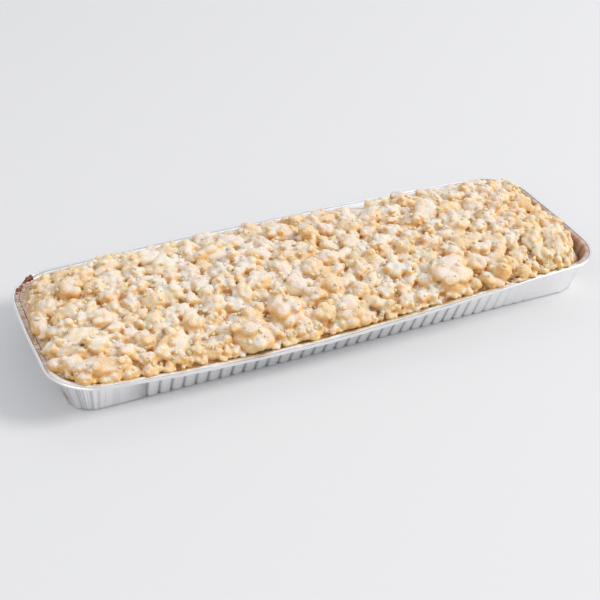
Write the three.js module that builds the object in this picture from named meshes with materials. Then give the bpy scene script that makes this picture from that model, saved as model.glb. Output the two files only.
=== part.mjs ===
// Streusel-topped babka in the pressed-foil tray it was baked in.
// Millimetres, +Z up. +X runs along the tray, -Y is the long side whose rim sags.
// The origin is under the middle of the tray, on the surface it stands on.
import * as THREE from "three";
import { ConvexHull } from "three/addons/math/ConvexHull.js";

// ---- Driving dimensions ----

// The tray before handling. Insets are measured inwards from the outer edge of its rolled rim.
const tray = {
  length: 400,
  width: 138,
  height: 29,
  cornerRadius: 30,
  leastCornerRadius: 3,
  wallInset: { base: 12, rim: 4.1 },
  liningInset: { base: 13.6, rim: 5.6 },
  floor: 0.8,
  baseChamfer: 1,
};

// The pressed wall: convex flutes parted by narrow grooves, plain at the corners.
const flute = {
  pitch: 8.25,
  countLong: 34,
  countEnd: 8,
  grooveHalfWidth: 0.7,
  shoulder: 0.3,
  depthBase: 1.1,
  depthTop: 0.6,
  belowRim: 5.5,
};

// The rim in section, from under the rolled bead over its top to the lip of the lining:
// inset and depth below the rim's top.
const rimSection = [
  [4.6, 2.7],
  [1.1, 2.9],
  [0, 1.6],
  [0.4, 0.4],
  [1.3, 0],
  [2.4, 0.6],
  [5.2, 0.5],
];
const band = { proud: 0.25, step: 0.4 };

// How the loaded tray has bent: the front rim leans out and sags left of the middle,
// the back rim bows out and lifts a little, and the ends bulge.
const bend = {
  frontLean: 4.6,
  frontLeanToRight: 2.5,
  sag: 7.1,
  sagEnds: { left: 1.85, right: 0.56 },
  backBow: 5,
  backLift: 1.4,
  endBulge: 1.5,
};

// The baked dough: inset beyond the lining and height, from its foot to its flat top.
const clearance = 0.45;
const doughSection = [
  [clearance, 1.2],
  [clearance, 20],
  [1.6, 23.2],
  [5, 24.6],
];

// The packed bed of streusel that the crumbs stand on: inset from the rim and height,
// from its foot over its edge to the crown.
const bedSection = [
  [7.8, 25.4],
  [6.5, 27.2],
  [9, 29.8],
  [17, 33.2],
  [32, 35.6],
  [52, 36.4],
];
const bedEndGap = 4;

// The largest crumbs, where they lie: x, y, half length, half width, turn in degrees.
const largeCrumbs = [
  [-187, 3, 12, 6.5, 90],
  [-163, 26, 11, 10, 90],
  [-152, -14, 9, 7.5, 0],
  [-135, 27, 12, 8, 80],
  [-100, 26, 10.5, 9, 0],
  [-114, -46, 11.5, 7, 75],
  [-127, -51, 6.5, 6, 0],
  [-147, -47, 8, 6.5, 20],
  [-165, -54, 15, 7, -8],
  [-131, -5, 9, 6, 90],
  [-63, 29, 12.5, 8.5, 10],
  [-40, -41, 15, 12.5, 80],
  [-62, -42, 9.5, 8.5, 60],
  [-68, -52, 13.5, 10.5, -20],
  [-15, -50, 8.5, 7.5, 45],
  [2, -53, 10.5, 9, 60],
  [-6, 34, 13.5, 8, 10],
  [10, 24, 9, 8.5, 45],
  [1, -27, 13, 9, 110],
  [-98, -54, 9.5, 6, -10],
  [16, -39, 8, 6.5, 0],
  [23, -52, 10, 5, -50],
  [82, -44, 16, 13.5, 30],
  [116, -52, 9, 7, 70],
  [79, 34, 9.5, 7.5, 0],
  [102, 24, 13.5, 9, 15],
  [108, -5, 14.5, 8, 5],
  [116, -31, 7.5, 6.5, 0],
  [168, -48, 11, 9.5, 30],
  [31, 44, 9.5, 6, 5],
  [-7, 8, 10.5, 8, 20],
  [67, 10, 8.5, 7, 0],
  [76, -28, 7, 6, 0],
  [137, -43, 8, 6, 60],
  [48, -31, 9, 8, 0],
];

// The crumbs between them, largest first: largest and smallest radius, tries to place
// one, and how close two may lie, as a share of their radii.
const crumbSizes = [
  { from: 8.5, to: 6.4, tries: 900, spacing: 0.78 },
  { from: 6.4, to: 4.7, tries: 3000, spacing: 0.78 },
  { from: 4.7, to: 3.1, tries: 9000, spacing: 0.8 },
];
const crumb = {
  flatness: 0.85,
  mostHigh: 8.8,
  stretch: 1.22,
  sunk: 0.12,
  unevenness: 0.09,
  toEdge: 6.4,
  valleyReach: 1.5,
};

// The facets of a crumb by its radius: rings round its top as shares of its radius, and
// the points on each.
const crumbFacets = [
  { over: 7.4, rings: [[0.42, 6], [0.8, 10]] },
  { over: 5, rings: [[0.68, 7]] },
  { over: 0, rings: [[0.64, 6]] },
];
const gapRing = { share: 1.07, count: 7, apart: 2.9 };
const leastSpacing = 1.8;
const sideBulge = 0.03;
const steepest = -0.05;
const seed = 20261;

// Steps along a long side, along an end and round a corner.
const traySteps = { long: 12, end: 4, corner: 5 };
const heapSteps = { long: 28, end: 7, corner: 5 };

// ---- Shared helpers ----

// A small generator whose draws are the same on every run.
function makeRandom(state) {
  return (low, high) => {
    state = (state * 1664525 + 1013904223) % 4294967296;
    return low + (high - low) * (state / 4294967296);
  };
}

// Where a point of the straight tray lies once the tray has bent.
function bent([x, y], z) {
  const u = THREE.MathUtils.clamp(x / (tray.length / 2), -1, 1);
  const v = THREE.MathUtils.clamp(y / (tray.width / 2), -1, 1);
  const rise = THREE.MathUtils.clamp(z / tray.height, 0, 1);
  const along = 1 - u * u;
  const front = Math.max(-v, 0) * rise * along;
  const back = Math.max(v, 0) * rise * along;
  const lean = bend.frontLean + bend.frontLeanToRight * u;
  const sag = bend.sag * (bend.sagEnds.right - u) * (bend.sagEnds.left + u);
  return [
    x + bend.endBulge * u * (1 - v * v) * rise,
    y - lean * front + bend.backBow * back,
    z - sag * front + bend.backLift * back,
  ];
}

// Stations along a straight side, each a place from -1 to 1 and a depth.
function plainSide(count) {
  const side = [];
  for (let i = 0; i <= count; i++) side.push({ at: (2 * i) / count - 1, depth: 0 });
  return side;
}

function flutedSide(straight, count) {
  const side = [{ at: -1, depth: 0 }];
  for (let i = 0; i <= count; i++) {
    const groove = (i - count / 2) * flute.pitch;
    for (const step of [-1, 0, 1]) {
      const outermost = (i === 0 && step < 0) || (i === count && step > 0);
      const depth = step === 0 ? 1 : outermost ? 0 : flute.shoulder;
      side.push({ at: (groove + step * flute.grooveHalfWidth) / (straight / 2), depth });
    }
    if (i < count) side.push({ at: (groove + flute.pitch / 2) / (straight / 2), depth: 0 });
  }
  side.push({ at: 1, depth: 0 });
  return side;
}

// All stations of one ring, anticlockwise from the left end of the front side.
function stations(longSide, endSide, cornerSteps) {
  const ring = [];
  for (let quarter = 0; quarter < 4; quarter++) {
    const side = quarter % 2 ? endSide : longSide;
    for (const { at, depth } of side) ring.push({ quarter, at, depth, turn: 0 });
    for (let i = 1; i < cornerSteps; i++) ring.push({ quarter, at: 1, depth: 0, turn: i / cornerSteps });
  }
  return ring;
}

// The plan of one ring at an inset, with grooves cut to a given depth.
function ringPlan(ring, inset, grooveDepth = 0, endGap = 0) {
  const a = tray.length / 2 - inset - endGap;
  const b = tray.width / 2 - inset;
  const r = Math.max(tray.cornerRadius - inset, tray.leastCornerRadius);
  return ring.map(({ quarter, at, depth, turn }) => {
    const [along, out] = quarter % 2 ? [b - r, a] : [a - r, b];
    const angle = (turn * Math.PI) / 2;
    const forward = at * along + r * Math.sin(angle);
    const outward = out - depth * grooveDepth - r * (1 - Math.cos(angle));
    return [
      [forward, -outward],
      [outward, forward],
      [-forward, outward],
      [-outward, -forward],
    ][quarter];
  });
}

// The same ring in space, at a height.
function ringPoints(ring, inset, height, grooveDepth = 0) {
  return ringPlan(ring, inset, grooveDepth).map((point) => bent(point, height));
}

// The share of the way round that each point of a ring has reached.
function progress(points) {
  const reach = [0];
  points.forEach((p, i) => {
    const q = points[(i + 1) % points.length];
    reach.push(reach[i] + Math.hypot(q[0] - p[0], q[1] - p[1]));
  });
  return reach.map((length) => length / reach[points.length]);
}

// A closed surface through a stack of rings, capped by a fan at each end.
// Rings of one length join point to point; others join by their share of the way round.
function loftRings(rings) {
  const positions = [];
  const index = [];
  const starts = rings.map((ring) => {
    const start = positions.length / 3;
    ring.forEach((p) => positions.push(...p));
    return start;
  });
  for (let k = 0; k + 1 < rings.length; k++) {
    const [below, above] = [rings[k], rings[k + 1]];
    const reach = below.length === above.length ? (ring) => [...ring.keys(), ring.length] : progress;
    const [reachBelow, reachAbove] = [reach(below), reach(above)];
    let [i, j] = [0, 0];
    while (i < below.length || j < above.length) {
      const a = starts[k] + (i % below.length);
      const b = starts[k + 1] + (j % above.length);
      const stepBelow = j === above.length || (i < below.length && reachBelow[i + 1] <= reachAbove[j + 1]);
      if (stepBelow) {
        i += 1;
        index.push(a, starts[k] + (i % below.length), b);
      } else {
        j += 1;
        index.push(a, starts[k + 1] + (j % above.length), b);
      }
    }
  }
  const cap = (ring, start, up) => {
    const centre = positions.length / 3;
    const sum = ring.reduce((s, p) => [s[0] + p[0], s[1] + p[1], s[2] + p[2]], [0, 0, 0]);
    positions.push(...sum.map((value) => value / ring.length));
    ring.forEach((_, i) => {
      const [from, to] = [start + i, start + ((i + 1) % ring.length)];
      index.push(centre, ...(up ? [from, to] : [to, from]));
    });
  };
  cap(rings[0], starts[0], false);
  cap(rings.at(-1), starts.at(-1), true);
  return closedSurface(positions, index);
}

function closedSurface(positions, index) {
  const geometry = new THREE.BufferGeometry();
  geometry.setAttribute("position", new THREE.Float32BufferAttribute(positions, 3));
  geometry.setIndex(index);
  geometry.computeVertexNormals();
  return geometry;
}

// A value read off a list of [place, value] pairs by straight lines between them.
function between(pairs, place) {
  const last = pairs.length - 1;
  if (place <= pairs[0][0]) return pairs[0][1];
  for (let i = 1; i <= last; i++) {
    const [[p0, v0], [p1, v1]] = [pairs[i - 1], pairs[i]];
    if (place <= p1) return v0 + ((v1 - v0) * (place - p0)) / (p1 - p0);
  }
  return pairs[last][1];
}

// ---- Foil tray ----

const plainRing = stations(plainSide(traySteps.long), plainSide(traySteps.end), traySteps.corner);
const straightLong = tray.length - 2 * tray.cornerRadius;
const straightEnd = tray.width - 2 * tray.cornerRadius;
const flutedRing = stations(
  flutedSide(straightLong, flute.countLong),
  flutedSide(straightEnd, flute.countEnd),
  traySteps.corner,
);
const bedRing = stations(plainSide(heapSteps.long), plainSide(heapSteps.end), heapSteps.corner);

function insetAt({ base, rim }, height) {
  return base + ((rim - base) * height) / tray.height;
}

function foilTray() {
  const fluteTop = tray.height - flute.belowRim;
  const bandFoot = fluteTop + band.step;
  const outside = (height) => insetAt(tray.wallInset, height);
  const lining = (height) => insetAt(tray.liningInset, height);
  return loftRings([
    ringPoints(flutedRing, outside(0) + tray.baseChamfer, 0, flute.depthBase),
    ringPoints(flutedRing, outside(tray.baseChamfer), tray.baseChamfer, flute.depthBase),
    ringPoints(flutedRing, outside(fluteTop), fluteTop, flute.depthTop),
    ringPoints(plainRing, outside(bandFoot) - band.proud, bandFoot),
    ...rimSection.map(([inset, below]) => ringPoints(plainRing, inset, tray.height - below)),
    ringPoints(plainRing, lining(tray.floor), tray.floor),
  ]);
}

// ---- Dough ----

function dough() {
  return loftRings(
    doughSection.map(([gap, height]) =>
      ringPoints(plainRing, insetAt(tray.liningInset, height) + gap, height)),
  );
}

// ---- Crumb topping ----

// How far in a point lies, as the heap's insets are measured.
function insetOf([x, y]) {
  const r = tray.cornerRadius;
  const past = [Math.abs(x) - (tray.length / 2 - bedEndGap - r), Math.abs(y) - (tray.width / 2 - r)];
  if (past[0] > 0 && past[1] > 0) return r - Math.hypot(past[0], past[1]);
  return r - Math.max(past[0], past[1]);
}

// The top of the bed under a point, from its section.
function bedTop(point) {
  return between(bedSection.slice(1), insetOf(point));
}

// All crumbs: the named large ones, then smaller and smaller ones wherever the random
// place drawn is still free.
function scatterCrumbs(random) {
  const placed = largeCrumbs.map(([x, y, long, wide, turn]) => ({ x, y, long, wide, turn }));
  for (const { from, to, tries, spacing } of crumbSizes) {
    for (let i = 0; i < tries; i++) {
      const x = random(-0.5, 0.5) * tray.length;
      const y = random(-0.5, 0.5) * tray.width;
      const radius = from + ((to - from) * i) / tries;
      if (insetOf([x, y]) < crumb.toEdge + radius) continue;
      const free = placed.every((other) => {
        const reach = spacing * (radius + (other.long + other.wide) / 2);
        return distance([x, y], [other.x, other.y]) > reach;
      });
      if (!free) continue;
      const stretch = random(1, crumb.stretch);
      placed.push({ x, y, long: radius * stretch, wide: radius / stretch, turn: random(0, 180) });
    }
  }
  return placed.map((item) => {
    const high = Math.min(crumb.flatness * item.wide, crumb.mostHigh);
    const foot = bedTop([item.x, item.y]) - crumb.sunk * high;
    const turn = THREE.MathUtils.degToRad(item.turn);
    return { ...item, high, foot, turn, radius: (item.long + item.wide) / 2 };
  });
}

// A point on a crumb's plan, at a share of its radius and an angle from its long axis.
function onCrumb({ x, y, long, wide, turn }, share, angle) {
  const [along, across] = [share * long * Math.cos(angle), share * wide * Math.sin(angle)];
  return [
    x + along * Math.cos(turn) - across * Math.sin(turn),
    y + along * Math.sin(turn) + across * Math.cos(turn),
  ];
}

// The height of a crumb's rounded top over a point, or the lowest there is beside it.
function crumbTop({ x, y, long, wide, turn, foot, high }, [px, py]) {
  const along = ((px - x) * Math.cos(turn) + (py - y) * Math.sin(turn)) / long;
  const across = ((py - y) * Math.cos(turn) - (px - x) * Math.sin(turn)) / wide;
  const inside = 1 - along * along - across * across;
  return inside > 0 ? foot + high * Math.sqrt(inside) : -Infinity;
}

// The points of the plan that the heap's surface is drawn between: on each crumb, in the
// valley between two that touch, and in the gaps where more meet.
function heapPoints(crumbs, random) {
  const points = crumbs.map(({ x, y }) => [x, y]);
  for (const item of crumbs) {
    const { rings } = crumbFacets.find(({ over }) => item.radius > over);
    for (const [share, count] of rings) {
      const start = random(0, 2 * Math.PI);
      for (let i = 0; i < count; i++) {
        const uneven = share * (1 + random(-crumb.unevenness, crumb.unevenness));
        const point = onCrumb(item, uneven, start + (2 * Math.PI * i) / count);
        const own = crumbTop(item, point);
        if (crumbs.every((other) => other === item || crumbTop(other, point) < own)) points.push(point);
      }
    }
  }
  crumbs.forEach((a, i) => {
    for (const b of crumbs.slice(i + 1)) {
      if (distance([a.x, a.y], [b.x, b.y]) > a.radius + b.radius + crumb.valleyReach) continue;
      const share = a.radius / (a.radius + b.radius);
      points.push([a.x + share * (b.x - a.x), a.y + share * (b.y - a.y)]);
    }
  });
  const gaps = [];
  for (const item of crumbs) {
    for (let i = 0; i < gapRing.count; i++) {
      const point = onCrumb(item, gapRing.share, (2 * Math.PI * i) / gapRing.count);
      const open = crumbs.every((other) => crumbTop(other, point) === -Infinity);
      if (open && gaps.every((gap) => distance(gap, point) > gapRing.apart)) gaps.push(point);
    }
  }
  return [...points, ...gaps];
}

function distance([ax, ay], [bx, by]) {
  return Math.hypot(bx - ax, by - ay);
}

// Triangles between points of the plan, anticlockwise from above: the underside of the
// hull of the points lifted onto a bowl. The sides bulge a little so that all their
// points lie on it.
function triangulate(points) {
  const lifted = points.map(([x, y]) => {
    const [u, v] = [x / (tray.length / 2), y / (tray.width / 2)];
    const across = (y / (tray.length / 2)) * (1 + sideBulge * (1 - u * u));
    const along = u * (1 + sideBulge * (1 - v * v));
    return new THREE.Vector3(along, across, along * along + across * across);
  });
  const order = new Map(lifted.map((point, i) => [point, i]));
  const faces = new ConvexHull().setFromPoints(lifted).faces.filter(({ normal }) => normal.z < steepest);
  return faces.map(({ edge }) => [edge.next, edge, edge.prev].map(({ vertex }) => order.get(vertex.point)));
}

// The heap of crumbs as one solid: its top drawn between the points, then a skirt down to
// a flat underside.
function crumbTopping() {
  const random = makeRandom(seed);
  const crumbs = scatterCrumbs(random);
  const edge = ringPlan(bedRing, bedSection[1][0], 0, bedEndGap);
  const plan = [...edge];
  for (const point of heapPoints(crumbs, random)) {
    const inside = insetOf(point) > bedSection[1][0] + leastSpacing;
    if (inside && plan.every((other) => distance(point, other) > leastSpacing)) plan.push(point);
  }
  const positions = [];
  plan.forEach((point, i) => {
    const top = Math.max(bedTop(point), ...crumbs.map((item) => crumbTop(item, point)));
    positions.push(...bent(point, i < edge.length ? bedSection[1][1] : top));
  });
  const index = triangulate(plan).flat();
  const foot = positions.length / 3;
  const [footInset, footHeight] = bedSection[0];
  const underside = ringPlan(bedRing, footInset, 0, bedEndGap).map((point) => bent(point, footHeight));
  underside.forEach((point) => positions.push(...point));
  positions.push(0, 0, bent([0, 0], footHeight)[2]);
  const centre = foot + edge.length;
  edge.forEach((_, i) => {
    const next = (i + 1) % edge.length;
    index.push(foot + i, foot + next, next, foot + i, next, i);
    index.push(centre, foot + next, foot + i);
  });
  return closedSurface(positions, index);
}

// ---- The part ----

const foil = new THREE.MeshStandardMaterial({ color: 0xc9cbcd, roughness: 0.32, metalness: 1 });
const crust = new THREE.MeshStandardMaterial({ color: 0xb9793f, roughness: 0.8, metalness: 0 });
const streusel = new THREE.MeshStandardMaterial({ color: 0xe8c894, roughness: 0.9, metalness: 0 });

function named(name, geometry, material) {
  const mesh = new THREE.Mesh(geometry, material);
  mesh.name = name;
  return mesh;
}

const babka = new THREE.Group();
babka.add(
  named("foil_tray", foilTray(), foil),
  named("dough", dough(), crust),
  named("crumb_topping", crumbTopping(), streusel),
);

export default babka;
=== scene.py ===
"""A streusel-topped babka in its foil tray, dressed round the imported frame.

Shapes are worked out in millimetres in the part's own frame and stored in metres.
+X runs along the tray, -Y is its front, and +Z is up from the surface that it stands on.
"""
import itertools
import math

import bmesh
import bpy
import numpy as np
from mathutils import Euler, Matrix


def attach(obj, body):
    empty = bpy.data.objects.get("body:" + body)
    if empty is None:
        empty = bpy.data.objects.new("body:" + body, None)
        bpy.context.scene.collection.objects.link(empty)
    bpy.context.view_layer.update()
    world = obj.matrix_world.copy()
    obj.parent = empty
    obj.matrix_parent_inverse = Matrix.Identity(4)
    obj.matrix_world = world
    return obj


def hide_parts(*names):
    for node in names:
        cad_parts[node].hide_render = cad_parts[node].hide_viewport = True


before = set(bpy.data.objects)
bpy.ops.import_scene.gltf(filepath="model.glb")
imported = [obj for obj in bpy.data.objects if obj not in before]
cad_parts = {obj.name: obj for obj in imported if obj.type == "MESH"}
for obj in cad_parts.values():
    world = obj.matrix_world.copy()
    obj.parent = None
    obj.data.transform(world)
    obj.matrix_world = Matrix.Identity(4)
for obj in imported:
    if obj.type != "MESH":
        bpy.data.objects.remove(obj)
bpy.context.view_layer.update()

MM = 0.001

# ---- Driving dimensions, in millimetres, as the solids have them ----

LENGTH, WIDTH, HEIGHT = 400, 138, 29
CORNER_RADIUS = 30
LEAST_CORNER_RADIUS = 3
WALL_INSET = (12, 4.1)
LINING_INSET = (13.6, 5.6)
FLOOR = 0.8
FLUTE_PITCH = 8.25
FLUTES_LONG, FLUTES_END = 34, 8
FLUTE_TOP = HEIGHT - 4.9
FLUTE_DEPTH = (1.6, 1.3)
BED_SECTION = [(6.5, 27.2), (9, 29.8), (17, 33.2), (32, 35.6), (52, 36.4)]
BED_FOOT = (7.8, 25.4)
BED_END_GAP = 4

# How the loaded tray has bent.
FRONT_LEAN, FRONT_LEAN_TO_RIGHT = 4.6, 2.5
SAG, SAG_LEFT, SAG_RIGHT = 7.1, 1.85, 0.56
BACK_BOW, BACK_LIFT, END_BULGE = 5, 1.4, 1.5

# The largest crumbs, where they lie: x, y, half length, half width, turn in degrees.
LARGE_CRUMBS = [
    (-187, 3, 12, 6.5, 90), (-163, 26, 11, 10, 90), (-152, -14, 9, 7.5, 0), (-135, 27, 12, 8, 80),
    (-100, 26, 10.5, 9, 0), (-114, -46, 11.5, 7, 75), (-127, -51, 6.5, 6, 0), (-147, -47, 8, 6.5, 20),
    (-165, -54, 15, 7, -8), (-131, -5, 9, 6, 90), (-63, 29, 12.5, 8.5, 10), (-40, -41, 15, 12.5, 80),
    (-62, -42, 9.5, 8.5, 60), (-68, -52, 13.5, 10.5, -20), (-15, -50, 8.5, 7.5, 45),
    (2, -53, 10.5, 9, 60), (-6, 34, 13.5, 8, 10), (10, 24, 9, 8.5, 45), (1, -27, 13, 9, 110),
    (-98, -54, 9.5, 6, -10), (16, -39, 8, 6.5, 0), (23, -52, 10, 5, -50), (82, -44, 16, 13.5, 30),
    (116, -52, 9, 7, 70), (79, 34, 9.5, 7.5, 0), (102, 24, 13.5, 9, 15), (108, -5, 14.5, 8, 5),
    (116, -31, 7.5, 6.5, 0), (168, -48, 11, 9.5, 30), (31, 44, 9.5, 6, 5), (-7, 8, 10.5, 8, 20),
    (67, 10, 8.5, 7, 0), (76, -28, 7, 6, 0), (137, -43, 8, 6, 60), (48, -31, 9, 8, 0),
]

# The crumbs between them: largest and smallest radius, tries, and closeness.
CRUMB_SIZES = [(8.5, 6.4, 900, 0.78), (6.4, 4.7, 3000, 0.78), (4.7, 3.1, 9000, 0.8)]
CORE_DROP, CORE_EDGE_DROP = 1.0, 1.2
FLATNESS, MOST_HIGH, STRETCH, SUNK, TO_EDGE = 0.85, 8.8, 1.22, 0.12, 6.4
CRUMB_SEED = 20261

# ---- Finer shapes, which only the dressed model has, in millimetres ----

# The foil in section. Its underside: how far in from the wall's foot, and height.
BASE_SECTION = [(18, 0.35), (3.4, 0.35), (2.6, 0.0), (1.5, 0.0)]
# Under the bead, the bead, and the flange beside it with a seam at its second point: inset,
# and depth below the rim's top.
UNDER_BEAD = [(4.2, 2.8), (2.2, 2.7)]
BEAD_CENTRE, BEAD_RADIUS = (1.15, 1.2), 1.15
FLANGE_SECTION = [
    (2.0, 0.5), (2.2, 0.85), (2.4, 0.6), (2.7, 0.47), (3.6, 0.42), (4.7, 0.42), (5.2, 0.6), (5.4, 1.1),
]
# The lining: height, and how far the bare patch at the back is pushed in there.
LINING_SECTION = [(27, 1.2), (25.8, 2.2), (24.6, 3.2), (23, 3.6), (20, 2.4), (14, 0.6), (8, 0), (3, 0)]
# Where a flute is sampled, in shares of its half width from the groove on each side, and its
# profile: the share of its depth that is a low arch, and the width of the V at the groove.
FLUTE_STEPS = (0, 0.35, 0.6, 0.78, 0.83, 0.89, 0.95, 1)
ARCH_SHARE, GROOVE_WIDTH = 0.5, 0.19
FOIL_CORNER_STEPS = 22

# The dough in section: gap to the lining, then height in the middle, at the left end and at
# the right end.
DOUGH_SECTION = [
    (12, 1.2, 1.2, 1.2), (1.5, 1.2, 1.2, 1.2), (1.2, 6, 6, 6), (0.45, 12, 14, 11), (0.45, 16, 21, 14),
    (0.45, 19, 26, 16.5), (0.6, 21, 28.6, 18.5), (1.2, 22.9, 28.8, 20), (2.0, 23.8, 28.8, 21.2),
    (3.0, 24.4, 28.7, 22.2), (4.0, 24.8, 28.9, 23), (5.2, 25, 28.9, 23.8), (6.6, 25, 28.6, 24.4),
    (9, 24.6, 27, 24.6), (14, 24.4, 24.4, 24.4), (30, 24.4, 24.4, 24.4),
]
DOUGH_LAP = 0.9

# A crumb of mean radius 1: how far out its blobs lie, their radius, how far out it is broken
# flat, and how sharply blobs and flats join on.
BLOB_REACH, BLOB_RADIUS, FLATS_AT = (0.5, 0.74), (0.24, 0.42), (0.86, 1.02)
BLOB_JOIN, FLAT_JOIN = 30, 16
# The crumbs that the solids have too: the radius that each kind is above, the cuts of its
# grid, its core's radius and how many blobs are on it.
CRUMB_KINDS = [(7.4, 18, 0.68, (22, 32)), (4.9, 12, 0.66, (14, 20)), (0, 7, 0.64, (8, 13))]
# Crumbs strewn over them: how many, least and most radius, shapes (how many, then as above),
# how many radii each is sunk from half a radius up, and how far they keep to the hollows.
STREWN_BAKED = [
    (150, (2.2, 4.0), (24, 4, 0.72, (4, 8)), 0.4, 0.3),
    (480, (1.6, 3.2), (24, 4, 0.7, (4, 8)), 0.2, 0.97),
]
STREWN_LOOSE = {
    "crumbs_fine": (700, (0.9, 1.9), (24, 2, 0.64, (3, 6)), 0.5, 0.85),
    "crumb_grains": (1300, (0.4, 0.9), (12, 1, 0.62, (3, 5)), 0.5, 0.85),
}
EDGE_SHAPES, CARAMEL_SHAPES = (24, 5, 0.68, (6, 10)), (12, 7, 0.6, (5, 8))
# The row where the heap meets the flange: least radius and its range, inset and height.
EDGE_RADIUS, EDGE_RANGE, EDGE_INSET, EDGE_HEIGHT = 1.3, 3.1, 4.9, 27
LOOKS_SEED = 7

# The fused crumbs: the grain of the fusing, how far above their surroundings they stand
# before they are pressed down and by what share, and how wide those surroundings are. Then
# where they are cut in three, how far the three lap and how fast the laps dip, and how far
# under the bed's foot they are cut off and closed.
FUSING_VOXEL = 0.7
PROUD_FROM, PROUD_SHARE, SURROUNDINGS = 4.5, 0.6, 6
SEAMS, SEAM_LAP, LAP_DIP = (-LENGTH, -66, 66, LENGTH), 2.5, 0.16
CUT_DEPTH, CLOSED_DEPTH = 2.2, 2.5

# How far the heap's outline has shrunk inwards, and how far it has spread outwards.
SHRUNK_FRONT_RIGHT, SHRUNK_BACK_LEFT, SHRUNK_FRONT = 6.6, 2.2, 1.3
SPREAD_RIGHT, SPREAD_LEFT, SPREAD_FRONT_RIGHT = 0.6, 2.8, 3.8

# Seen from over the front, the crumbs leave the back rim in view: the line of sight's height
# at the lining, its rise towards the front, how far along the rim it looks for each
# millimetre across, and where on the rim lumps stand above it.
SIGHT_HEIGHT, SIGHT_RISE, SIGHT_SLANT = 27.2, 0.745, 0.52
RAISED_AT, RAISED_REACH = [(-142, 5), (-131, 4), (-119, 4), (-57, 3.5), (8, 3), (82, 5), (94, 5)], 7
# Where the lining at the back is bare, x and reach, and how much lower the crumbs are there.
BARE_AT, BARE_DROP = [(70, 11)], 9

# ---- Looks, in millimetres and shares ----

# Where the foil's ends begin to be browned, and are fully, and the scorch on its outside. On the
# lining the brown is partly baked on and partly painted reflection of the crumbs and dough.
LEFT_END, RIGHT_END = (165, 192), (165, 190)
SCORCH_AT, SCORCH_REACH = (-188.5, -46, 10), (3, 3, 7)
# Where sugar was spilt on the front of the flange: x and reach.
SPILT_AT = [(-97, 6), (-156, 8), (-40, 3)]

# Where icing sugar lies thickest and thinnest: x, y, radius, amount.
SUGAR_BASE = 0.56
SUGAR_PATCHES = [
    (-97, 41, 42, 0.22), (-90, -22, 44, 0.2), (-26, 2, 46, 0.24), (120, 18, 40, 0.22),
    (-184, -22, 24, 0.2), (50, 30, 40, 0.14), (60, -40, 30, 0.1), (178, 0, 40, -0.26),
    (-165, 45, 34, -0.18), (128, 61, 21, 0.6), (125, -50, 22, -0.16),
]

# Dark bits baked on at the left back corner: x, y, radius, height of the middle.
CARAMEL = [
    (-184.5, 61.2, 2.2, 28.6), (-187.2, 58.9, 1.0, 28.6), (-193.4, 51.2, 1.7, 28.2),
    (-190.6, 54.9, 0.9, 28.5), (-194.8, 47.6, 0.9, 28.4), (-182.2, 62.2, 1.3, 28.7),
]

# ---- Room and camera, in metres, watts and degrees ----

# Each light: place, size, power and tint.
LIGHTS = {
    "key": ((3.1, -1.2, 2.3), 1.5, 124, (1, 0.985, 0.96)),
    "fill": ((-1.5, -1.2, 2), 2.4, 20, (1, 0.99, 0.98)),
    "back": ((1.3, 2.4, 2.6), 2.4, 8, (1, 1, 1)),
}
ROOM_TINT, ROOM_STRENGTH = (0.93, 0.96, 1, 1), 0.68
FLOOR_SIZE = 8
# The photograph's camera. Its lens and its sensor are in millimetres.
CAMERA_PLACE = (-0.3084, -0.6590, 0.4976)
CAMERA_TURN = (55.76, -0.86, -23.88)
CAMERA_LENS, CAMERA_SENSOR = 74.53, 36


# ---- Numbers and shapes ----


def clamp(values, low=0.0, high=1.0):
    return np.minimum(np.maximum(values, low), high)


def smooth_step(values, low, high):
    part = clamp((values - low) / (high - low))
    return part * part * (3 - 2 * part)


def make_random(state):
    """A small generator whose draws are the same on every run, and in the solids."""

    def draw(low, high):
        nonlocal state
        state = (state * 1664525 + 1013904223) % 4294967296
        return low + (high - low) * (state / 4294967296)

    return draw


def hashed(cells, seed):
    """A number from -1 to 1 for each cell of a lattice, scrambled from its place."""
    mix = cells[:, 0] * 73856093 ^ cells[:, 1] * 19349663 ^ cells[:, 2] * 83492791 ^ seed * 40503001
    mix = (mix ^ (mix >> 13)) * 1274126177 & 0xFFFFFFFF
    mix = (mix ^ (mix >> 15)) * 2246822519 & 0xFFFFFFFF
    return (mix ^ (mix >> 16)) / 2147483648.0 - 1


def lattice_noise(points, cell, seed):
    """Smooth noise from about -1 to 1 at each point, with features the size of a cell. Each
    use has its own seed, so that no two are alike."""
    place = np.asarray(points, float) / cell
    base = np.floor(place).astype(np.int64)
    part = place - base
    part = part * part * (3 - 2 * part)
    total = np.zeros(len(place))
    for corner in itertools.product((0, 1), repeat=3):
        weight = np.prod(np.where(corner, part, 1 - part), axis=1)
        total += weight * hashed(base + np.array(corner), seed)
    return total


def knobbly(points, cell, seed):
    """Round knobs with creases between them, from about -0.5 to 0.8, the size of a cell."""
    return 2 * abs(lattice_noise(points, cell, seed)) - 0.5


def bent(points):
    """Where points of the straight tray lie once the loaded tray has bent."""
    x, y, z = points.T
    u = clamp(x / (LENGTH / 2), -1, 1)
    v = clamp(y / (WIDTH / 2), -1, 1)
    rise = clamp(z / HEIGHT)
    front = clamp(-v) * rise * (1 - u * u)
    back = clamp(v) * rise * (1 - u * u)
    lean = FRONT_LEAN + FRONT_LEAN_TO_RIGHT * u
    sag = SAG * (SAG_RIGHT - u) * (SAG_LEFT + u)
    return np.stack([
        x + END_BULGE * u * (1 - v * v) * rise,
        y - lean * front + BACK_BOW * back,
        z - sag * front + BACK_LIFT * back,
    ], axis=1)


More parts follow.
